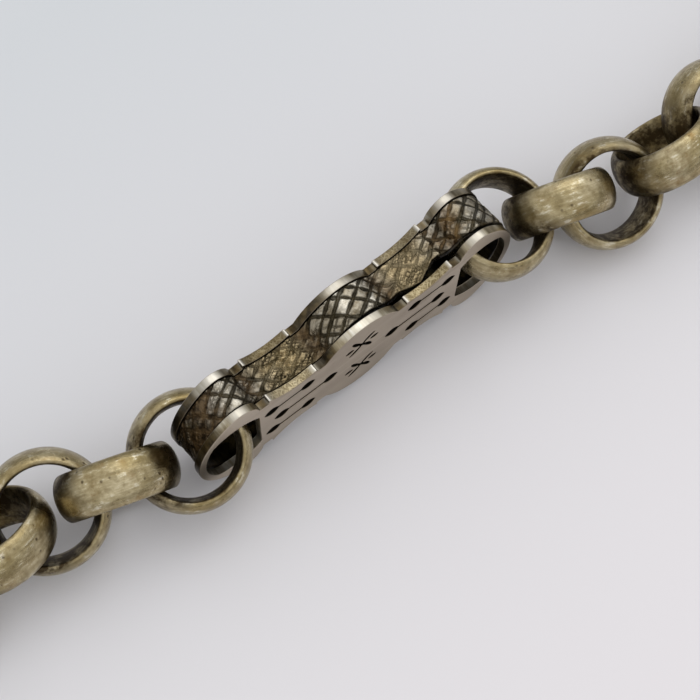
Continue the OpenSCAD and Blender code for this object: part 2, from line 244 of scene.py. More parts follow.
class Graph:
    """Short calls for the nodes that the metals and the light are mixed from."""

    def __init__(self, tree):
        self.tree = tree
        self.coords = self.new("ShaderNodeTexCoord")

    def new(self, kind):
        """A new node of one kind."""
        return self.tree.nodes.new(kind)

    def link(self, a, b):
        """Joins an output to an input."""
        self.tree.links.new(a, b)

    def noise(self, scale, detail=4.0, rough=0.55, stretch=None, turn=0.0, source=None):
        """Noise on the object's own coordinates, with scale in grains per metre; the coordinates
        can first be turned about the vertical and then stretched."""
        node = self.new("ShaderNodeTexNoise")
        node.inputs["Scale"].default_value = scale
        node.inputs["Detail"].default_value = detail
        node.inputs["Roughness"].default_value = rough
        source = source or self.coords.outputs["Object"]
        for socket, value in (("Rotation", (0, 0, turn) if turn else None), ("Scale", stretch)):
            if value:
                mapping = self.new("ShaderNodeMapping")
                mapping.inputs[socket].default_value = value
                self.link(source, mapping.inputs["Vector"])
                source = mapping.outputs["Vector"]
        self.link(source, node.inputs["Vector"])
        return node.outputs["Fac"]

    def scratches(self, scale, ratio):
        """Short fine strokes that lie in three directions, as light (1) on dark (0)."""
        strokes = [self.noise(scale, 2, 0.5, (1, ratio, 1), turn) for turn in (0.5, -0.75, 1.35)]
        most = self.math("MAXIMUM", self.math("MAXIMUM", strokes[0], strokes[1]), strokes[2])
        return self.ramp(most, [(0.52, 0), (0.66, 1)])

    def cells(self, scale):
        """Distance to the nearest of scattered points, for pits and grains."""
        node = self.new("ShaderNodeTexVoronoi")
        node.inputs["Scale"].default_value = scale
        self.link(self.coords.outputs["Object"], node.inputs["Vector"])
        return node.outputs["Distance"]

    def split(self, vector):
        """The X, Y and Z parts of a vector."""
        node = self.new("ShaderNodeSeparateXYZ")
        self.link(vector, node.inputs[0])
        return node.outputs

    def ramp(self, value, stops, tint=(1, 1, 1)):
        """A curve through (position, level) stops, as a grey or in a tint."""
        node = self.new("ShaderNodeValToRGB")
        elements = node.color_ramp.elements
        for at, _ in stops[1:-1]:
            elements.new(at)
        for element, (at, level) in zip(elements, stops):
            element.position = at
            element.color = (*(level * part for part in tint), 1)
        self.link(value, node.inputs["Fac"])
        return node.outputs["Color"]

    def math(self, kind, a, b):
        """A node that works on two values, each a number or an output."""
        node = self.new("ShaderNodeMath")
        node.operation = kind
        for socket, value in zip(node.inputs, (a, b)):
            if isinstance(value, (int, float)):
                socket.default_value = value
            else:
                self.link(value, socket)
        return node.outputs[0]

    def mix(self, fac, a, b):
        """Colour a where fac is 0 and b where it is 1."""
        node = self.new("ShaderNodeMix")
        node.data_type = "RGBA"
        for socket, value in ((node.inputs[0], fac), (node.inputs[6], a), (node.inputs[7], b)):
            if isinstance(value, tuple):
                socket.default_value = (*value, 1)
            else:
                self.link(value, socket)
        return node.outputs[2]

    def attribute(self, name, output="Fac"):
        """A value that the mesh holds for each of its points."""
        node = self.new("ShaderNodeAttribute")
        node.attribute_name = name
        return node.outputs[output]

    def bumps(self, *layers):
        """Bumps laid over one another, each as (height, strength, depth in metres)."""
        normal = None
        for height, strength, depth in layers:
            node = self.new("ShaderNodeBump")
            node.inputs["Strength"].default_value = strength
            node.inputs["Distance"].default_value = depth
            self.link(height, node.inputs["Height"])
            if normal:
                self.link(normal, node.inputs["Normal"])
            normal = node.outputs["Normal"]
        return normal


def new_material(name):
    """A node material with its shader and output, and short calls for its nodes."""
    mat = bpy.data.materials.new(name)
    mat.use_nodes = True
    mat.node_tree.nodes.clear()
    g = Graph(mat.node_tree)
    out = g.new("ShaderNodeOutputMaterial")
    shader = g.new("ShaderNodeBsdfPrincipled")
    g.link(shader.outputs["BSDF"], out.inputs["Surface"])
    return mat, g, shader


def finish_metal(g, shader, base, rough, bumps):
    """Joins a metal's colour, roughness and bumps to its shader."""
    shader.inputs["Metallic"].default_value = 1.0
    g.link(base, shader.inputs["Base Color"])
    g.link(rough, shader.inputs["Roughness"])
    g.link(bumps, shader.inputs["Normal"])


# Colours are linear red, green and blue; a pair is the two that a pattern runs between
RING_GOLD = (0.31, 0.245, 0.115), (0.55, 0.475, 0.305)
BRUSHED_BROWN, MOTTLE_BROWN, STAIN_BROWN = (0.20, 0.145, 0.06), (0.16, 0.115, 0.045), (0.20, 0.115, 0.035)
# The flecks are a painted highlight; the darkest brown is tarnish and painted shade where the neighbours
# meet and in the bore
RING_HIGHLIGHT_FLECK, RING_TARNISH_AND_SHADE, PIT_BROWN = (0.78, 0.73, 0.58), (0.036, 0.022, 0.009), (0.07, 0.045, 0.02)

FACE_GREY = (0.335, 0.275, 0.21), (0.44, 0.375, 0.295)
FACE_SPOT, FACE_END = (0.17, 0.13, 0.085), (0.58, 0.505, 0.41)
BRIGHT_EDGE = (0.46, 0.41, 0.30), (0.72, 0.685, 0.59)
DULL_EDGE = (0.17, 0.135, 0.08), (0.35, 0.30, 0.20)
STEP_TAN = (0.16, 0.12, 0.055), (0.43, 0.36, 0.215)
# Rim colours: tarnish and painted shade, painted silver highlights, and near-black painted shade inside the
# link and in the piercings
RIM_TARNISH_AND_SHADE = (0.018, 0.012, 0.005), (0.085, 0.06, 0.026)
CREST_HIGHLIGHT_SILVER, INSIDE_TARNISH_AND_SHADE, PIERCING_SHADE_BLACK = (0.86, 0.83, 0.75), (0.035, 0.026, 0.015), (0.010, 0.008, 0.005)

DIAMOND_SILVER = (0.16, 0.125, 0.07), (0.84, 0.80, 0.69)
HOLLOW_TAN, HOLLOW_GLEAM = ((0.17, 0.115, 0.045), (0.60, 0.48, 0.27)), (0.70, 0.58, 0.37)
# The cut colour also paints shade along the strip's edges and on its inside
CUT_BLACK = (0.006, 0.005, 0.002), (0.034, 0.026, 0.011)
# The fold colour is tarnish and painted shade in the folds and round the left end
STRIP_TARNISH_AND_SHADE = (0.018, 0.011, 0.006), (0.13, 0.085, 0.042)
RUST_BROWN = (0.06, 0.032, 0.012), (0.27, 0.17, 0.07)

FITTING_GOLD = (0.31, 0.245, 0.11), (0.55, 0.465, 0.265)
FITTING_STAIN = (0.12, 0.075, 0.028)
PIN_GREY = (0.42, 0.41, 0.40), (0.62, 0.61, 0.59)


def ring_metal():
    """Satin yellowish nickel silver: brown tarnish and painted shade in the bore and where the neighbours
    meet, mottled, brushed round the band, with painted highlight flecks, brown spots and small pits."""
    mat, g, shader = new_material("ring nickel silver")
    own = g.attribute("own", "Vector")
    blotch = g.noise(330, 5)
    mottle = g.noise(1500, 5, 0.65)
    fine = g.noise(5200, 3)
    brushed = g.noise(850, 5, 0.65, (1, 1, 6), source=own)
    base = g.mix(g.ramp(blotch, [(0.34, 0), (0.64, 1)]), *RING_GOLD)
    base = g.mix(g.ramp(brushed, [(0.38, 0.45), (0.58, 0)]), base, BRUSHED_BROWN)
    base = g.mix(g.ramp(mottle, [(0.38, 0.5), (0.54, 0)]), base, MOTTLE_BROWN)
    # Painted highlight: pale flecks where the brushing and the mottling are both light
    highlight_fleck = g.ramp(g.math("MULTIPLY", brushed, mottle), [(0.31, 0), (0.40, 0.7)])
    base = g.mix(highlight_fleck, base, RING_HIGHLIGHT_FLECK)
    smear = g.ramp(g.noise(1100, 6, 0.7), [(0.38, 0.35), (0.56, 1.0)])
    # Tarnish and painted shade where the neighbours meet and in the bore, broken up by the mottling
    near = g.math("ADD", g.attribute("tarnish_and_painted_shade"), g.math("MULTIPLY", mottle, 0.5))
    neighbour_shade = g.ramp(near, [(0.5, 0), (1.0, 1)])
    tarnish_and_painted_shade = g.math("MULTIPLY", g.math("MAXIMUM", neighbour_shade, g.attribute("bore")), smear)
    stain = g.ramp(g.noise(520, 6, 0.7), [(0.57, 0), (0.72, 0.75)])
    base = g.mix(stain, base, STAIN_BROWN)
    base = g.mix(g.math("MULTIPLY", tarnish_and_painted_shade, 0.95), base, RING_TARNISH_AND_SHADE)
    pits = g.ramp(g.cells(1900), [(0.08, 1), (0.24, 0)])
    pits = g.math("MULTIPLY", pits, g.ramp(g.noise(800, 4), [(0.47, 0), (0.58, 1)]))
    base = g.mix(g.math("MULTIPLY", pits, 0.8), base, PIT_BROWN)
    rough = g.math("ADD", g.ramp(blotch, [(0.3, 0.23), (0.7, 0.31)]), g.math("MULTIPLY", tarnish_and_painted_shade, 0.25))
    bumps = g.bumps(
        (fine, 0.4, 0.00002),
        (brushed, 0.55, 0.00006),
        (mottle, 0.4, 0.00005),
        (g.math("SUBTRACT", 1.0, pits), 0.6, 0.00004),
    )
    finish_metal(g, shader, base, rough, bumps)
    return mat


def plate_metal(name, inward):
    """Nickel silver sheet: dull warm-grey face that is lighter towards its ends, bright filed edges with
    duller stretches, tan on the hollow steps, brown tarnish and painted shade in the notches and on other
    stretches of the rim, painted silver highlights on the corners and crests, and painted black shade in
    the piercings; inward is the sign along Y of the side that faces into the link, which is darkened with
    tarnish and painted shade."""
    mat, g, shader = new_material(name)
    facing = g.split(g.coords.outputs["Normal"])["Y"]
    edge = g.ramp(g.math("ABSOLUTE", facing, 0.0), [(0.25, 1), (0.9, 0)])
    blotch = g.noise(260, 5)
    face = g.mix(g.ramp(blotch, [(0.32, 0), (0.68, 1)]), *FACE_GREY)
    face = g.mix(g.ramp(g.noise(1300, 6, 0.7), [(0.6, 0), (0.8, 0.5)]), face, FACE_SPOT)
    face = g.mix(g.math("MULTIPLY", g.attribute("ends"), 0.6), face, FACE_END)
    filed = g.noise(3600, 3, 0.6, (1, 0.12, 1))
    bright = g.mix(g.ramp(filed, [(0.36, 0), (0.62, 1)]), *BRIGHT_EDGE)
    dull = g.mix(g.ramp(filed, [(0.36, 0), (0.62, 1)]), *DULL_EDGE)
    worn = g.mix(g.ramp(g.noise(210, 3), [(0.47, 0), (0.58, 1)]), dull, bright)
    tan = g.mix(g.scratches(2600, 5), *STEP_TAN)
    worn = g.mix(g.math("MULTIPLY", g.attribute("step"), 0.9), worn, tan)
    # Tarnish and painted shade in the notches, on the middle lobe's left flank, at the left tip and at a
    # level all along the back plate's rim
    brown = g.mix(g.ramp(g.noise(1500, 4), [(0.42, 0), (0.62, 1)]), *RIM_TARNISH_AND_SHADE)
    worn = g.mix(g.math("MULTIPLY", g.attribute("tarnish_and_painted_shade"), 0.95), worn, brown)
    # Painted silver highlights on the step corners and on the crests
    worn = g.mix(g.attribute("painted_glint"), worn, CREST_HIGHLIGHT_SILVER)
    base = g.mix(edge, face, worn)
    # The inward faces are darkened to near black: tarnish and painted shade inside the link
    inside = g.ramp(g.math("MULTIPLY", facing, float(inward)), [(0.5, 0), (0.8, 1)])
    base = g.mix(inside, base, INSIDE_TARNISH_AND_SHADE)
    # Painted black shade on the walls of the piercings
    piercing_shade = g.math("MULTIPLY", g.attribute("pierced"), edge)
    base = g.mix(piercing_shade, base, PIERCING_SHADE_BLACK)
    rough = g.math("SUBTRACT", g.ramp(blotch, [(0.3, 0.42), (0.7, 0.5)]), g.math("MULTIPLY", edge, 0.14))
    coarse = g.math("MAXIMUM", g.math("MULTIPLY", piercing_shade, 0.4), g.math("MULTIPLY", g.attribute("step"), 0.12))
    bumps = g.bumps(
        (g.noise(500, 6, 0.7, (1, 1, 7)), 0.12, 0.00003),
        (g.noise(3000, 3), 0.18, 0.00002),
        (filed, 0.3, 0.00003),
    )
    finish_metal(g, shader, base, g.math("ADD", rough, coarse), bumps)
    return mat


def strip_metal():
    """Engraved strip: creamy silver diamonds of uneven brightness on the lobes, with a painted highlight on
    the middle lobe's right half and painted shade on its left, tan scratched metal in the hollows,
    olive-black in the cuts and as painted shade along its edges and on its inside, rust brown in patches
    near the right end, and dark brown tarnish and painted shade between the lobes and round the left end."""
    mat, g, shader = new_material("engraved nickel silver")
    fine = g.noise(2300, 5, 0.7)
    scratched = g.scratches(2000, 6)
    gleam = g.math("MULTIPLY", g.attribute("gleam"), g.ramp(fine, [(0.36, 0.25), (0.54, 1)]))
    silver = g.mix(gleam, *DIAMOND_SILVER)
    rubbed_tan = g.math("MULTIPLY", scratched, g.ramp(fine, [(0.34, 0.4), (0.56, 1)]))
    tan = g.mix(rubbed_tan, *HOLLOW_TAN)
    tan = g.mix(g.math("MULTIPLY", g.attribute("gleam"), 0.6), tan, HOLLOW_GLEAM)
    base = g.mix(g.attribute("hollow"), silver, tan)
    # The cuts in olive-black; the same colour paints shade along the strip's edges and on its inside
    groove = g.mix(g.ramp(fine, [(0.4, 0), (0.62, 1)]), *CUT_BLACK)
    base = g.mix(g.attribute("cut"), base, groove)
    rust = g.mix(g.ramp(fine, [(0.4, 0), (0.6, 1)]), *RUST_BROWN)
    base = g.mix(g.attribute("rust"), base, rust)
    # Tarnish and painted shade in the folds between the lobes and round the left end
    dark = g.mix(g.ramp(fine, [(0.38, 0), (0.62, 1)]), *STRIP_TARNISH_AND_SHADE)
    base = g.mix(g.attribute("tarnish"), base, dark)
    soiled = g.math("MAXIMUM", g.attribute("hollow"), g.attribute("cut"))
    rough = g.math("ADD", 0.28, g.math("MULTIPLY", soiled, 0.22))
    bumps = g.bumps(
        (fine, 0.35, 0.00005),
        (scratched, 0.3, 0.00003),
        (g.noise(5200, 2), 0.2, 0.00002),
    )
    finish_metal(g, shader, base, rough, bumps)
    return mat


def fitting_metal(name, colours):
    """Worn satin metal between two colours: soft mottling, brown tarnish and a few pits."""
    mat, g, shader = new_material(name)
    blotch = g.noise(300, 5)
    mottle = g.noise(1300, 5, 0.65)
    base = g.mix(g.ramp(blotch, [(0.32, 0), (0.66, 1)]), *colours)
    base = g.mix(g.ramp(mottle, [(0.38, 0.6), (0.54, 0)]), base, tuple(0.5 * c for c in colours[0]))
    base = g.mix(g.ramp(g.noise(520, 6, 0.7), [(0.55, 0), (0.72, 0.85)]), base, FITTING_STAIN)
    pits = g.ramp(g.cells(1500), [(0.08, 0.8), (0.22, 0)])
    pits = g.math("MULTIPLY", pits, g.ramp(g.noise(800, 4), [(0.5, 0), (0.6, 1)]))
    base = g.mix(pits, base, PIT_BROWN)
    rough = g.ramp(blotch, [(0.3, 0.29), (0.7, 0.38)])
    bumps = g.bumps(
        (g.noise(480, 6, 0.75, stretch=(2, 8, 1)), 0.2, 0.00004),
        (mottle, 0.35, 0.00004),
        (g.math("SUBTRACT", 1.0, pits), 0.5, 0.00003),
    )
    finish_metal(g, shader, base, rough, bumps)
    return mat


RING = ring_metal()
FRONT = plate_metal("front plate nickel silver", 1)
BACK = plate_metal("back plate nickel silver", -1)
STRIP = strip_metal()
FITTING = fitting_metal("fitting nickel silver", FITTING_GOLD)
STEEL = fitting_metal("pin steel", PIN_GREY)


# Belcher rings

RING_R, BORE_R, BAND_HALF, CROWN = 3.8, 2.8, 1.49, 0.225
BAND_WORN, WAVER, WAVER_TURNS = 0.1, 0.018, 2.2
RING_ROWS, RING_COLS, RING_SEED = 180, 56, 11
# The brown of the bore, tarnish and painted shade, starts this far outside its lip, and is full after the
# fade
LIP_EDGE, LIP_FADE = 0.12, 0.14
# A neighbour's tarnish and painted shade reach this far from the middle of its band: one on the left, one
# on the right; the left reach is longer as painted shade
NEIGHBOUR_SHADE_LEFT, NEIGHBOUR_SHADE_RIGHT, NEIGHBOUR_SHADE_FADE = 3.5, 2.5, 1.6


def band_section():
    """The band's section as (radius, height) points: a slightly crowned inside and half an oval for the
    domed outside, with the edges worn round."""
    a = np.linspace(-np.pi / 2, np.pi / 2, 200)
    lip = BORE_R + CROWN
    inside = np.stack([BORE_R + CROWN * np.sin(a) ** 2, BAND_HALF * np.sin(a)], -1)
    outside = np.stack([lip + (RING_R - lip) * np.cos(a), BAND_HALF * np.sin(a)], -1)[::-1]
    return worn_loop(np.vstack([inside, outside]), 800, BAND_WORN, RING_COLS)


def neighbour_tarnish_and_shade(points, name):
    """How near each point is to the band of a neighbouring ring, from 0 (clear) to 1 (tarnish and painted
    shade), by its distance from the circle along the middle of that band; a left neighbour's shade reaches
    further."""
    side, number = name.rsplit("_", 1)
    near = np.zeros(points.shape[:-1])
    for other in (f"{side}_{int(number) - 1}", f"{side}_{int(number) + 1}"):
        if other in ring_place:
            centre, axis = ring_place[other]
            height = (points - centre) @ axis
            radius = np.linalg.norm(points - centre - height[..., None] * axis, axis=-1)
            gap = np.hypot(radius - (RING_R + BORE_R) / 2, height)
            reach = NEIGHBOUR_SHADE_LEFT if centre[0] < points[..., 0].mean() else NEIGHBOUR_SHADE_RIGHT
            near = np.maximum(near, np.clip((reach - gap) / NEIGHBOUR_SHADE_FADE, 0, 1))
    return near


def belcher_ring(name, seed):
    """The section swept round the ring's own axis, with a slow waver in its radius."""
    centre, axis = ring_place[name]
    section = band_section()
    turn = np.linspace(0, 2 * np.pi, RING_ROWS, endpoint=False)
    waver = WAVER * lattice(np.stack([np.cos(turn), np.sin(turn)], -1) * WAVER_TURNS, seed)[:, None]
    points, own = round_sweep(section, centre, axis, RING_ROWS, waver)
    # The bore's brown: tarnish and painted shade inside the ring
    inner = np.clip((BORE_R + CROWN + LIP_EDGE - section[:, 0]) / LIP_FADE, 0, 1)
    piece = closed_sweep(name + "_band", points, {
        "bore": np.broadcast_to(inner, points.shape[:2]),
        "tarnish_and_painted_shade": neighbour_tarnish_and_shade(points, name),
        "own": own * MM + seed,
    })
    piece.data.materials.append(RING)
    dress(piece, name, name)


for k, ring_name in enumerate(sorted(ring_place)):
    belcher_ring(ring_name, RING_SEED + k)


# Fancy link

# Outline: end lobes with rounded shoulders, middle lobe, notches, and steps with hollow backs
LOBE_X, LOBE_R, SHOULDER_R, SHOULDER_A = 7.7, 4.7, 1.5, np.radians(61)
MIDDLE_R, MIDDLE_H, NOTCH_H, FAR_NOTCH_H = 3.53, 3.9, 2.5, 3.0
STEP_X1, STEP_X2, HOLLOW_X, HOLLOW_R, HOLLOW_H = 3.5, 7.05, 4.7, 3.85, 2.6
# Holes: a D-shaped one at each end, leafy cuts from one place to another, and crossed sprigs
EYELET_X, EYELET_R, EYELET_FLAT_X, EYELET_RIM, EYELET_WORN = 9.75, 2.75, 7.85, 0.5, 0.09
LONG_LEAF, SHORT_LEAF, LEAF_Z = (1.9, 6.8), (3.65, 7.5), 1.5
LEAF_L, LEAF_W, SLIT_W = 1.15, 0.8, 0.2
SPRIG_Z, SPRIG_R, SWIRL, SWIRL_R = 1.55, 0.19, 0.16, 0.3
ARM_A, ARM_L, ARM_SPREAD = np.radians(42), 1.0, 0.27
DASH_START, DASH_BEND, DASH_END, DASH_W = (0.63, 0), (0.95, -0.05), (1.28, -0.02), 0.36
PLATE_WORN, PLATE_BEVEL, PLATE_POINTS = 0.05, 0.05, 700
# Strip between the plates, turned off the front plate and slipped along it
STRIP_INSET, STRIP_T, STRIP_W, STRIP_GAP, STRIP_WORN = 0.07, 0.64, 2.02, 0.02, 0.3
SPREAD, SLIP, TURN_INSET = np.radians(1.7), 0.2, 0.3


def loosened(points):
    """Points of the strip or the back plate, slipped along the front plate and turned off it
    about the strip's left end."""
    end = LINK_AT + [TURN_INSET - LOBE_X - LOBE_R, PLATE_T - FRONT_Y, 0]
    turn = np.array([[np.cos(SPREAD), -np.sin(SPREAD), 0], [np.sin(SPREAD), np.cos(SPREAD), 0], [0, 0, 1]])
    return (points - end) @ turn.T + end + [SLIP, 0, 0]


def scalloped_outline(inset, worn, count):
    """The plate's outline drawn in by a distance: end lobe, rounded shoulder, notch, hollow-backed
    step, notch and middle lobe, mirrored into four quarters, with its corners worn round."""
    shoulder, middle, hollow = SHOULDER_R - inset, MIDDLE_R - inset, HOLLOW_R + inset
    notch, far_notch = NOTCH_H - inset, FAR_NOTCH_H - inset
    shoulder_x = LOBE_X + (LOBE_R - SHOULDER_R) * np.cos(SHOULDER_A)
    shoulder_z = (LOBE_R - SHOULDER_R) * np.sin(SHOULDER_A)
    dip = np.pi + np.arcsin((shoulder_z - far_notch) / shoulder)
    x2, x1 = STEP_X2 - inset, STEP_X1 + inset
    step = np.linspace(x2, x1, 60)
    middle_z = MIDDLE_H - MIDDLE_R
    low = np.arcsin((notch - middle_z) / middle)
    quarter = np.vstack([
        arc(LOBE_X, 0, LOBE_R - inset, 0, SHOULDER_A),
        arc(shoulder_x, shoulder_z, shoulder, SHOULDER_A, dip),
        [[x2, far_notch]],
        np.stack([step, HOLLOW_H + HOLLOW_R - np.sqrt(hollow**2 - (step - HOLLOW_X) ** 2)], -1),
        [[x1, notch]],
        arc(0, middle_z, middle, low, np.pi / 2),
    ])
    half = np.vstack([quarter, (quarter * [-1, 1])[::-1]])
    return worn_loop(np.vstack([half, (half * [1, -1])[::-1]]), 4000, worn, count)


def leafy_cut(x1, x2, z):
    """Two leaves joined by a thin slit, as one outline. Its half width along the cut is a sine to the
    power 0.8 over the length of a leaf at each end, and the slit's between the leaves."""
    x = np.linspace(x1, x2, 90)
    near = np.minimum(x - x1, x2 - x) / LEAF_L
    half = np.where(near < 1, LEAF_W / 2 * np.sin(np.pi * np.clip(near, 0, 1)) ** 0.8, 0)
    half = np.maximum(half, np.where(near > 0.5, SLIT_W / 2, 0))
    half[[0, -1]] = 0
    return np.vstack([np.stack([x, z + half], -1), np.stack([x, z - half], -1)[-2:0:-1]])


def stroke(start, bend, end, width):
    """A tapered stroke along a bent line, whose half width is a sine to the power 0.6 along it."""
    t = np.linspace(0, 1, 22)[:, None]
    line = (1 - t) ** 2 * np.array(start) + 2 * t * (1 - t) * np.array(bend) + t**2 * np.array(end)
    along = np.gradient(line, axis=0)
    across = np.stack([-along[:, 1], along[:, 0]], -1) / np.linalg.norm(along, axis=1)[:, None]
    half = width / 2 * np.sin(np.pi * np.clip(t, 0.02, 0.98)) ** 0.6
    return np.vstack([line - across * half, (line + across * half)[::-1]])


def crossed_cut(z):
    """A crossed sprig: four bent arms round a small middle, cut as one outline, and a dash at each side.
    The outline's radius is the middle's plus a bell curve of the angle from the nearest arm, and past a
    small radius the arms are swirled round."""
    a = np.linspace(0, 2 * np.pi, 240, endpoint=False)
    arms = (ARM_A, np.pi - ARM_A, np.pi + ARM_A, -ARM_A)
    off = np.min([np.abs((a - k + np.pi) % (2 * np.pi) - np.pi) for k in arms], 0)
    reach = ARM_L * hump(off, 0, ARM_SPREAD, 2) + SPRIG_R
    bent = a - SWIRL * np.clip(reach - SWIRL_R, 0, None)
    star = reach[:, None] * np.stack([np.cos(bent), np.sin(bent)], -1)
    dash = stroke(DASH_START, DASH_BEND, DASH_END, DASH_W)
    return [loop + [0, z] for loop in (star, dash, -dash)]


def eyelet_outline(side):
    """The D-shaped hole at one end: a round cut flat on its inner side and drawn in by the lobe's rim."""
    a = np.linspace(-np.pi, np.pi, 400, endpoint=False)
    ray = np.stack([np.cos(a), np.sin(a)], -1)
    off = EYELET_X - LOBE_X
    rim = -off * ray[:, 0] + np.sqrt((off * ray[:, 0]) ** 2 - off**2 + (LOBE_R - EYELET_RIM) ** 2)
    flat = (EYELET_X - EYELET_FLAT_X) / np.maximum(-ray[:, 0], 1e-6)
    r = np.minimum(np.minimum(EYELET_R, rim), flat)
    count = 300
    loop, length = even_path(np.array([EYELET_X, 0]) + r[:, None] * ray, count)
    return closed_smooth(loop, length / count, EYELET_WORN) * [side, 1]


def wound(loop, way):
    """The loop run anticlockwise (1) or clockwise (-1)."""
    x, z = loop.T
    area = np.sum(x * np.roll(z, -1) - np.roll(x, -1) * z)
    return loop if area * way > 0 else loop[::-1]


def plate_blank(name, outline):
    """The outline and its holes, filled, thickened and with rounded edges, as a mesh that lies flat."""
    holes = crossed_cut(SPRIG_Z) + crossed_cut(-SPRIG_Z)
    for side in (-1, 1):
        holes += [eyelet_outline(side), leafy_cut(*LONG_LEAF, 0) * [side, 1]]
        holes += [leafy_cut(*SHORT_LEAF, z) * [side, 1] for z in (-LEAF_Z, LEAF_Z)]
    shape = bpy.data.curves.new(name + "_outline", "CURVE")
    shape.dimensions = "2D"
    shape.fill_mode = "BOTH"
    shape.extrude = PLATE_T / 2 - PLATE_BEVEL
    shape.bevel_depth = PLATE_BEVEL
    shape.bevel_resolution = 2
    shape.offset = -PLATE_BEVEL
    for loop in [wound(outline, 1)] + [wound(hole, -1) for hole in holes]:
        spline = shape.splines.new("POLY")
        spline.points.add(len(loop) - 1)
        spline.points.foreach_set("co", np.c_[loop, np.zeros(len(loop)), np.ones(len(loop))].ravel())
        spline.use_cyclic_u = True
    blank = put_in_scene(name + "_blank", shape)
    bpy.context.view_layer.update()
    mesh = bpy.data.meshes.new_from_object(blank.evaluated_get(bpy.context.evaluated_depsgraph_get()))
    bpy.data.objects.remove(blank)
    return mesh


# Wear, tarnish, painted shade and painted highlights on the plates: places along the link, each with its
# half length
NEAR_NOTCH, FAR_NOTCH, HOLLOW_STEP = (3.05, 0.45), (7.4, 0.42), (5.3, 1.7)
END_CREST, MIDDLE_CREST = (9.1, 0.65), (0.4, 1.0)
# Painted highlights on the corners lie this far in from a step's ends and above this height
CORNER_IN, CORNER_HALF, CORNER_Z = 0.07, 0.1, NOTCH_H + 0.15
# The rim is this near the outline, the notches are above this height, and the ends are lighter from here
RIM_NEAR, NOTCH_Z, TIP_FADE, ENDS_X, ENDS_FADE = 0.12, 2, 0.6, 5, 4
# The painted shade on the walls of the D-shaped holes is less dark than on those of the other piercings
EYELET_DARK = 0.45
# Darkening of each plate's rim: painted shade on a stretch of its upper side at the middle lobe's left
# flank, a level all over, and tarnish and painted shade at the left tip
FRONT_RIM_SHADE_AND_SOIL = {"dark": (-2.7, 0.8), "level": 0.0, "tip_x": -10.3}
BACK_RIM_SHADE_AND_SOIL = {"dark": (-1.9, 1.35), "level": 0.52, "tip_x": -9.9}


def plate_wear(mesh, flat, outline, shade_and_soil):
    """Tells the metal about each point of a flat plate: whether it lies in a piercing, whose walls take
    painted shade, how far it is darkened with tarnish and painted shade (in the notches, on the dark
    stretch and at the left tip), and how far it lies on a painted highlight on a corner or crest, on a
    hollow step or towards the plate's ends."""
    x, z = np.abs(flat[:, 0]), np.abs(flat[:, 1])
    apart = (flat[:, :2] ** 2).sum(1)[:, None] + (outline**2).sum(1) - 2 * flat[:, :2] @ outline.T
    rim = apart.min(1) < RIM_NEAR**2
    # Points off the rim lie in a piercing, whose walls take painted black shade, less on the D-shaped holes
    point_values(mesh, "pierced", np.where(rim, 0, np.where(x > LOBE_X, EYELET_DARK, 1)))
    notch = hump(x, *NEAR_NOTCH) + hump(x, *FAR_NOTCH)
    soiled = np.maximum(hump(flat[:, 0], *shade_and_soil["dark"]) * (flat[:, 1] > 0), shade_and_soil["level"])
    soiled = np.maximum(soiled, 0.95 * np.clip((shade_and_soil["tip_x"] - flat[:, 0]) / TIP_FADE, 0, 1))
    point_values(mesh, "tarnish_and_painted_shade", np.maximum(notch * (z > NOTCH_Z), soiled) * rim)
    # Painted highlights: glints on the step corners and on the crests of the end lobes and the middle lobe
    corners = hump(x, STEP_X1 + CORNER_IN, CORNER_HALF) + hump(x, STEP_X2 - CORNER_IN, CORNER_HALF)
    highlight_crests = hump(x, *END_CREST) + 0.7 * hump(flat[:, 0], *MIDDLE_CREST)
    point_values(mesh, "painted_glint", np.maximum(0.65 * corners * (z > CORNER_Z), 0.45 * highlight_crests) * rim)
    point_values(mesh, "ends", np.clip((x - ENDS_X) / ENDS_FADE, 0, 1))
    point_values(mesh, "step", hump(x, *HOLLOW_STEP, 8) * rim)


def pierced_plate(name, y_mid, metal, shade_and_soil):
    """One plate of the link, stood on its edge; the back one is loosened with the strip."""
    outline = scalloped_outline(0, PLATE_WORN, PLATE_POINTS)
    mesh = plate_blank(name, outline)
    flat = np.empty((len(mesh.vertices), 3), np.float32)
    mesh.vertices.foreach_get("co", flat.ravel())
    plate_wear(mesh, flat, outline, shade_and_soil)
    points = LINK_AT + np.stack([flat[:, 0], y_mid - flat[:, 2], flat[:, 1]], -1)
    if metal is BACK:
        points = loosened(points)
    mesh.vertices.foreach_set("co", (points * MM).astype(np.float32).ravel())
    mesh.materials.clear()
    mesh.materials.append(metal)
    dress(put_in_scene(name, mesh), name.removesuffix("_pierced"), "link")


pierced_plate("front_plate_pierced", PLATE_T / 2 - FRONT_Y, FRONT, FRONT_RIM_SHADE_AND_SOIL)
pierced_plate("back_plate_pierced", 1.5 * PLATE_T + STRIP_W - FRONT_Y, BACK, BACK_RIM_SHADE_AND_SOIL)

# The gap left open at the front plate, as (place along the link, width of the gap), and the furthest that
# the strip's edge is bent back
OPEN_GAP = np.array([
    (-2.0, 0.05), (0.0, 0.2), (2.2, 0.26), (3.3, 0.46), (4.4, 0.2),
    (5.0, 0.12), (6.3, 0.72), (7.4, 0.62), (9.0, 0.26), (12.5, 0.14),
])
BENT_BACK = -0.18
# Engraving: each set of lines has a pitch along the strip and a rise across it
LINE_PITCH, LINE_RISE, CROSS_PITCH, CROSS_RISE, CROSS_START = 1.55, 1.4, 1.42, 0.85, 0.31
LINES, DIAMONDS, LINE_SHIFT = 400, 997, 0.16
CUT_DEPTH, HOLLOW_WAVE, DIAMOND_STEP, BORDER = 0.09, 0.04, 0.02, 0.03
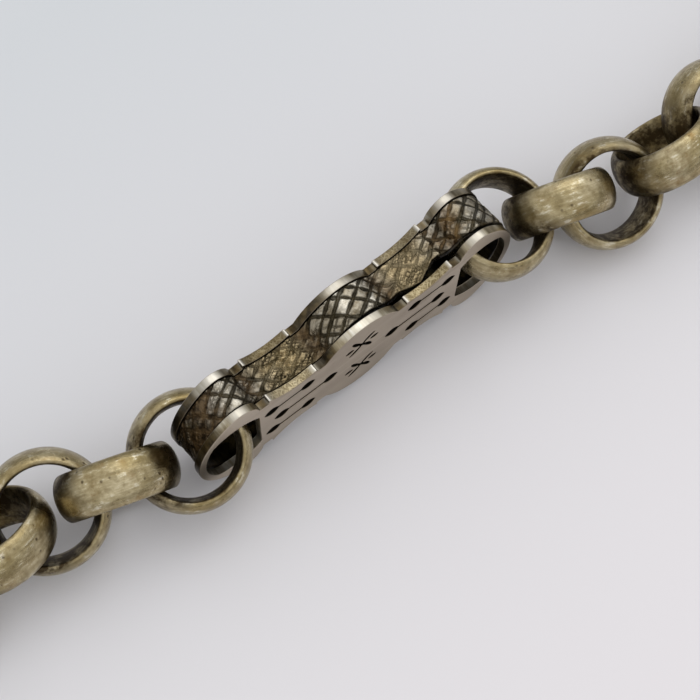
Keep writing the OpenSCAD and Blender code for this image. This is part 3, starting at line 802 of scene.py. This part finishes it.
# Strip's hollows, folds, rusty patch and dark left end, along the link; the folds and the left end are
# darkened with tarnish and painted shade
STRIP_HOLLOW, HOLLOW_Z, FOLD_Z, LEFT_END, LEFT_FADE = (4.9, 1.9), 1.5, 1.2, -8.9, 1.6
NEAR_FOLD, FAR_FOLD, RUSTY = (2.8, 0.5), (7.5, 0.35), (7.9, 1.5)
STRIP_ROWS, STRIP_COLS, BACK_COLS = 2000, 42, 3
# The strip's noise is squeezed across it, by this much
GRAIN_SQUEEZE = 1.7


def bulged(x):
    """How far the strip's bent front edge reaches over the gap that the turned strip leaves at the front
    plate: nearly all of it on the left, and on the right what the open gap there leaves."""
    left_open = np.interp(x, *OPEN_GAP.T)
    return np.clip(np.tan(SPREAD) * (x + LOBE_X + LOBE_R) - left_open, BENT_BACK, None)


def strip_y(v, x):
    """Places across the strip: v runs from 0 at the bent front edge to 1 at the back edge."""
    return PLATE_T - FRONT_Y + STRIP_GAP + v * (STRIP_W - 2 * STRIP_GAP) - (1 - v) * bulged(x)


def engraving(s, x, y, hollow, grain):
    """How deep each point is cut, and how bright its diamond is. Two sets of slanting double lines, a pair
    of vees at each whole number of (length / pitch - breadth / rise) in one set and of (length / pitch +
    breadth / rise) in the other, with finer ones between them in places, each line a little off its
    place; and scratches in the hollows and on the middle's left."""
    rng = np.random.default_rng(21)
    shift = rng.uniform(-LINE_SHIFT, LINE_SHIFT, LINES)

    def vees(f, breadth=0.085):
        """Two vees side by side at each whole number of f, with a shallower cut between them."""
        line = np.round(f).astype(int)
        off = np.abs(f - line - shift[line % LINES])
        return np.maximum(np.clip(1 - np.abs(off - breadth) / breadth, 0, 1), 0.7 * (off < breadth))

    wander = 0.10 * lattice(grain * 1.3, 5) + 0.05 * lattice(grain * 6.5, 7)
    wander = wander + 0.26 * hollow * lattice(grain * 3.1, 6)
    breadth = 0.115 * (1 + 0.45 * lattice(grain * 4.1, 8))
    f1 = s / LINE_PITCH - y / LINE_RISE + wander
    f2 = s / CROSS_PITCH + y / CROSS_RISE + 0.8 * wander + CROSS_START
    cut = np.maximum(vees(f1, 0.75 * breadth), vees(f2, 0.9 * breadth))
    dense = np.clip(0.3 + 1.3 * lattice(grain * 1.2, 16), 0, 1)
    cut = np.maximum(cut, 0.75 * dense * np.maximum(vees(2 * f1 + 0.5, 0.1), vees(2 * f2 + 0.5, 0.1)))
    scratch = np.maximum(
        vees((s + 1.3 * y) / 0.47 + 0.7 * lattice(grain * 2.1, 12)),
        vees((s - 1.6 * y) / 0.41 + 0.7 * lattice(grain * 2.4, 13)),
    )
    scratch = np.maximum(scratch, vees((0.3 * s + y) / 0.44 + 0.8 * lattice(grain * 2.7, 18)))
    broken = np.clip(0.8 + 1.4 * lattice(grain * 2.9, 14), 0, 1) * np.where(x > 0, 0.82, 1)
    leftward = np.clip(-x - 0.2, 0, 1) * (0.5 + 0.8 * lattice(grain * 1.9, 15))
    crossed = np.clip(np.maximum(hollow, leftward), 0, 1)
    cut = np.maximum(cut * (1 - 0.3 * hollow), scratch * crossed * broken)

    # Painted highlight on the middle lobe's right half and painted shade on its left half; an even 0.8 past
    # the middle lobe
    painted_side_light = 0.45 + 0.55 * np.clip(1.2 * x + 1.1, 0, 1)
    painted_side_light = np.where(np.abs(x) > 5, 0.8, painted_side_light)
    diamond = np.floor(f1).astype(int) * 31 + np.floor(f2).astype(int) * 17
    return cut, painted_side_light * rng.uniform(0.25, 1, DIAMONDS)[diamond % DIAMONDS]


def strip_stains_and_shade(x, z, grain):
    """Dark tarnish and painted shade round the left end and in the folds between the lobes, and rust near
    the right end.
    """
    left_end = np.clip((LEFT_END - x) / LEFT_FADE, 0, 1) * (0.85 + 0.5 * lattice(grain * 2.2, 4))
    folds = hump(np.abs(x), *NEAR_FOLD, 2) + 0.8 * hump(np.abs(x), *FAR_FOLD, 2)
    folds = folds * (np.abs(z) > FOLD_Z) * (0.8 + 0.5 * lattice(grain * 2.6, 3))
    rust = hump(x, *RUSTY, 2) * np.clip(0.25 + 1.2 * lattice(grain * 2.4, 17), 0, 0.7)
    return np.clip(np.maximum(left_end, folds), 0, 0.95), rust


def engraved_strip():
    """A band round the outline, drawn in a little and worn smooth, whose outside is engraved: each point
    lies below the plain band by its cut, the diamonds stand a little up or down, and the hollows wave."""
    path = scalloped_outline(STRIP_INSET, STRIP_WORN, STRIP_ROWS)
    tangent = np.roll(path, -1, 0) - np.roll(path, 1, 0)
    step = np.linalg.norm(tangent, axis=1)
    tangent /= step[:, None]
    out_x, out_z = tangent[:, 1:], -tangent[:, :1]
    s = np.cumsum(step / 2)[:, None]
    v = np.linspace(0, 1, STRIP_COLS)[None, :]
    x, z = path[:, :1], path[:, 1:]
    y = strip_y(v, x)
    hollow = hump(np.abs(x), *STRIP_HOLLOW) * (np.abs(z) > HOLLOW_Z) + 0 * y
    grain = np.stack([s + 0 * y, GRAIN_SQUEEZE * y + 0 * s], -1)
    cut, gleam = engraving(s, x, y, hollow, grain)
    # A groove along each edge of the strip, painted with the cut colour as shade in the seam against the
    # plates
    seam_groove_and_shade = np.clip(1 - np.minimum(v, 1 - v) / BORDER, 0, 1) + 0 * s
    cut = np.maximum(cut, 0.6 * seam_groove_and_shade)
    lift = -CUT_DEPTH * cut - HOLLOW_WAVE * hollow * lattice(grain * 4.3, 9)
    lift = lift + DIAMOND_STEP * (gleam - 0.5) * (1 - hollow)
    outer = np.stack([x + out_x * lift, y, z + out_z * lift], -1)
    back_y = strip_y(np.linspace(1, 0, BACK_COLS)[None, :], x)
    back = np.stack([x - out_x * STRIP_T + 0 * back_y, back_y, z - out_z * STRIP_T + 0 * back_y], -1)
    points = loosened(np.concatenate([outer, back], 1) + LINK_AT)
    tarnish, rust = strip_stains_and_shade(x, z, grain)

    def padded(values, level):
        """The outside's values, with one level for the plain inside."""
        return np.concatenate([values, np.full((STRIP_ROWS, BACK_COLS), level)], 1)

    piece = closed_sweep("rim_strip_engraved", points, {
        # The plain inside takes the full cut colour: painted black shade inside the link
        "cut": padded(np.clip(cut * 1.3, 0, 1), 1.0),
        "gleam": padded(gleam, 0.0),
        "hollow": padded(hollow, 0.0),
        "tarnish": padded(tarnish, 0.0),
        "rust": padded(rust, 0.0),
    })
    piece.data.materials.append(STRIP)
    dress(piece, "rim_strip", "link")


engraved_strip()


# End fittings: T-bar and swivel clip

ALONG_Y, ALONG_Z = np.array([0, 1.0, 0]), np.array([0, 0, 1.0])
BAR_R, BAR_HALF, SEAT_R, SLEEVE_R, SLEEVE_HALF, BEAD_R = 1.4, 16, 1.2, 1.95, 2.1, 0.45
SLEEVE_WORN, SLEEVE_FINE, SLEEVE_POINTS, SLEEVE_ROWS = 0.05, 1600, 120, 120
BEAD_A, SLEEVE_BAND_X, SLEEVE_BAND_FOOT = 2.6, 1.2, 1.625
EYE_REACH, EYE_WIRE, EYE_POINTS, WIRE_POINTS = 2.95, 1.3, 160, 36
SWIVEL_LEAN = np.radians(35)
# Copied solids: points nearer than this, in metres, are one, flatter edges go, and sharper ones are rounded
MERGE_M, FLAT_A, SHARP_A = 2e-6, 0.01, np.radians(28)
# Width of the rounding on the clip's body and on its gate
BODY_EDGE, GATE_EDGE = 0.12, 0.1


def node_middle(node):
    """The middle of a node's box."""
    lo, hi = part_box(node)
    return (np.array(lo) + np.array(hi)) / 2 / MM


def fitting(piece, node, body, metal=FITTING):
    """Gives a piece its metal and puts it in the place of a node."""
    piece.data.materials.append(metal)
    dress(piece, node, body)


def swept_fitting(name, section, centre, axis, rows, node, body):
    """A fitting whose closed section is swept round an axis."""
    points, _ = round_sweep(section, centre, axis, rows)
    fitting(closed_sweep(name, points), node, body)


def softened_copy(node, body, width):
    """The node's own faces, joined at their corners, with every sharp edge rounded."""
    mesh = bpy.data.meshes.new(node + "_softened")
    form = bmesh.new()
    form.from_mesh(nodes[node].data)
    form.transform(nodes[node].matrix_world)
    bmesh.ops.remove_doubles(form, verts=form.verts, dist=MERGE_M)
    bmesh.ops.dissolve_limit(form, angle_limit=FLAT_A, verts=form.verts, edges=form.edges)
    bmesh.ops.recalc_face_normals(form, faces=form.faces)
    form.to_mesh(mesh)
    form.free()
    mesh.polygons.foreach_set("use_smooth", np.ones(len(mesh.polygons), dtype=bool))
    piece = put_in_scene(node + "_softened", mesh)
    bevel = piece.modifiers.new("rounded edges", "BEVEL")
    bevel.width = width * MM
    bevel.segments = 3
    bevel.limit_method = "ANGLE"
    bevel.angle_limit = SHARP_A
    piece.modifiers.new("even shading", "WEIGHTED_NORMAL")
    fitting(piece, node, body)


# Profiles are rows of (place along the axis, radius). The bar's arms have round ends, and a seat for the
# sleeve lies between two shoulders
bar_end = BAR_HALF - BAR_R
shoulder = [[2.3, BAR_R], [2.14, BAR_R], [SLEEVE_HALF, 1.36], [SLEEVE_HALF, SEAT_R]]
bar_profile = np.vstack([
    arc(-bar_end, 0, BAR_R, np.pi, np.pi / 2, 20),
    np.array(shoulder) * [-1, 1],
    shoulder[::-1],
    arc(bar_end, 0, BAR_R, np.pi / 2, 0, 20),
])
fitting(turned("bar_turned", bar_profile, node_middle("bar"), ALONG_Y), "bar", "t_bar")

# The sleeve's section: a bead at each end and a raised band between them
bead = arc(SLEEVE_HALF - BEAD_R, BAR_R, BEAD_R, 0, BEAD_A, 24)
band_half = [[SLEEVE_BAND_X, SLEEVE_BAND_FOOT], [SLEEVE_BAND_X, SLEEVE_R], [0, SLEEVE_R]]
sleeve_half = np.vstack([[[0, SEAT_R], [SLEEVE_HALF, SEAT_R]], bead, band_half])
sleeve_loop = np.vstack([sleeve_half, sleeve_half[-2:0:-1] * [-1, 1]])[:, ::-1]
sleeve_section = worn_loop(sleeve_loop, SLEEVE_FINE, SLEEVE_WORN, SLEEVE_POINTS)
sleeve_at = node_middle("bar_sleeve")
swept_fitting("bar_sleeve_turned", sleeve_section, sleeve_at, ALONG_Y, SLEEVE_ROWS, "bar_sleeve", "t_bar")

# Both eyes are rings of round wire
wire_a = np.linspace(0, 2 * np.pi, WIRE_POINTS, endpoint=False)
wire_section = np.stack([EYE_REACH + EYE_WIRE / 2 * np.cos(wire_a), EYE_WIRE / 2 * np.sin(wire_a)], -1)
eye_lo, eye_hi = (np.array(c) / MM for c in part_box("bar_eye"))
eye_r = EYE_REACH + EYE_WIRE / 2
bar_eye_at = [eye_lo[0] + eye_r, (eye_lo[1] + eye_hi[1]) / 2, eye_hi[2] - eye_r]
swept_fitting("bar_eye_wire", wire_section, bar_eye_at, ALONG_Y, EYE_POINTS, "bar_eye", "t_bar")

swivel_at = joint_at["clip_swivel"]
swivel_axis = np.array([0, -np.sin(SWIVEL_LEAN), np.cos(SWIVEL_LEAN)])
swept_fitting(
    "swivel_eye_wire", wire_section, swivel_at, swivel_axis, EYE_POINTS, "swivel_eye", "swivel_eye"
)

# The post that grows out of the swivel's eye, with the head that the clip turns on
post_profile = np.array([
    [2.6, 0], [2.65, 1.0], [3.1, 0.96], [3.4, 0.88], [3.65, 0.85], [6.2, 0.85], [6.3, 0.88],
    [6.3, 1.2], [6.36, 1.28], [6.45, 1.3], [6.75, 1.3], [6.84, 1.28], [6.9, 1.2], [6.9, 0],
])
fitting(turned("swivel_post", post_profile, swivel_at, [-1, 0, 0]), "swivel_eye", "swivel_eye")

# The gate's pin, with domed ends
pin_half = np.array([[1.2, 0.5], [1.38, 0.5], [1.45, 0.46], [1.49, 0.36], [1.5, 0.2], [1.5, 0]])
pin_profile = np.vstack([pin_half[::-1] * [-1, 1], pin_half])
pin = turned("gate_pin_turned", pin_profile, joint_at["gate_open"], ALONG_Z, 48)
fitting(pin, "gate_pin", "clip", STEEL)

softened_copy("clip_body", "clip", BODY_EDGE)
softened_copy("clip_gate", "gate", GATE_EDGE)


# Table, light and camera

# The table's half side, and how fast its colour runs from far to near, for each metre: a painted falloff of
# the light, darker towards the back
TABLE_REACH, TABLE_FADE = 6000, -16.0
TABLE_LIGHT_FALLOFF = (0.615, 0.638, 0.658), (0.775, 0.742, 0.758)
TABLE_PATCH = (0.74, 0.74, 0.75)
# The sky's level by the height of the direction looked in
SKY_LEVELS = ((0.0, 0.14), (0.2, 0.5), (0.4, 0.88), (0.7, 0.94))
SKY_TINT, SKY_STRENGTH = (0.99, 0.99, 1.005), 1.02
# The lamp's direction from the link, its distance and side in metres, and its power in watts
LAMP_WAY, LAMP_DISTANCE, LAMP_SIDE, LAMP_WATTS = (0.42, 0.28, 0.86), 0.42, 0.3, 0.3
# The view down onto the link, turned so that the chain climbs from lower left to upper right
AZ, EL, ROLL, DISTANCE = -0.73176, np.radians(66), 0.05082, 80.0
# The photograph's side, the camera's distance to the picture and the place that it points at, in pixels
PHOTO_SIDE, FOCAL, AIM_X, AIM_Y = 700, 1286.5, 344.6, 335.4
SENSOR, CLIP_START = 36.0, 0.005


def table_top():
    """A wide flat sheet under the chain, greyer towards the back as a painted falloff of the light."""
    mat, g, shader = new_material("pale table")
    y = g.split(g.coords.outputs["Object"])["Y"]
    nearer = g.math("ADD", g.math("MULTIPLY", y, TABLE_FADE), 0.5)
    # Painted light falloff: darker far from the camera, lighter near it
    tone = g.mix(g.ramp(nearer, [(0.0, 0), (1.0, 1)]), *TABLE_LIGHT_FALLOFF)
    tone = g.mix(g.ramp(g.noise(9, 3), [(0.35, 0), (0.65, 0.3)]), tone, TABLE_PATCH)
    g.link(tone, shader.inputs["Base Color"])
    shader.inputs["Roughness"].default_value = 0.7
    corners = TABLE_REACH * np.array([[-1, -1], [1, -1], [1, 1], [-1, 1]], float)
    verts = np.c_[corners + LINK_AT[:2], np.full(4, table_z)]
    top = grid_mesh("table_top", verts, np.array([[0, 1, 2, 3]]))
    top.data.materials.append(mat)


def room_light():
    """Light from all round, dim at the horizon and pale overhead."""
    world = bpy.data.worlds.new("room")
    bpy.context.scene.world = world
    world.use_nodes = True
    world.node_tree.nodes.clear()
    g = Graph(world.node_tree)
    out = g.new("ShaderNodeOutputWorld")
    fill = g.new("ShaderNodeBackground")
    height = g.split(g.coords.outputs["Generated"])["Z"]
    g.link(g.ramp(height, SKY_LEVELS, SKY_TINT), fill.inputs["Color"])
    fill.inputs["Strength"].default_value = SKY_STRENGTH
    g.link(fill.outputs["Background"], out.inputs["Surface"])


def stand(thing, right, up, back, at):
    """Places a lamp or a camera by its own three directions and its place in metres."""
    m = np.eye(4)
    m[:3] = np.stack([right, up, back, at], -1)
    thing.matrix_world = Matrix(m.tolist())


def window_lamp():
    """A square lamp that faces the link from one direction."""
    data = bpy.data.lights.new("window", "AREA")
    data.size = LAMP_SIDE
    data.energy = LAMP_WATTS
    away = np.array(LAMP_WAY) / np.linalg.norm(LAMP_WAY)
    side = np.cross(ALONG_Z, away)
    side /= np.linalg.norm(side)
    lamp = put_in_scene("window", data)
    stand(lamp, side, np.cross(away, side), away, LINK_AT * MM + away * LAMP_DISTANCE)


def photo_camera():
    """A camera at a distance from the link, by its turn and height over the table and its own roll."""
    lens = bpy.data.cameras.new("view")
    lens.sensor_width = SENSOR
    lens.lens = SENSOR * FOCAL / PHOTO_SIDE
    lens.shift_x = (PHOTO_SIDE / 2 - AIM_X) / PHOTO_SIDE
    lens.shift_y = (AIM_Y - PHOTO_SIDE / 2) / PHOTO_SIDE
    lens.clip_start = CLIP_START
    back = np.array([np.sin(AZ) * np.cos(EL), -np.cos(AZ) * np.cos(EL), np.sin(EL)])
    level = np.array([np.cos(AZ), np.sin(AZ), 0.0])
    rise = np.cross(back, level)
    right = np.cos(ROLL) * level + np.sin(ROLL) * rise
    up = np.cos(ROLL) * rise - np.sin(ROLL) * level
    camera = put_in_scene("view", lens)
    stand(camera, right, up, back, (LINK_AT + DISTANCE * back) * MM)
    bpy.context.scene.camera = camera


table_top()
room_light()
window_lamp()
photo_camera()
bpy.context.scene.view_settings.view_transform = "Standard"
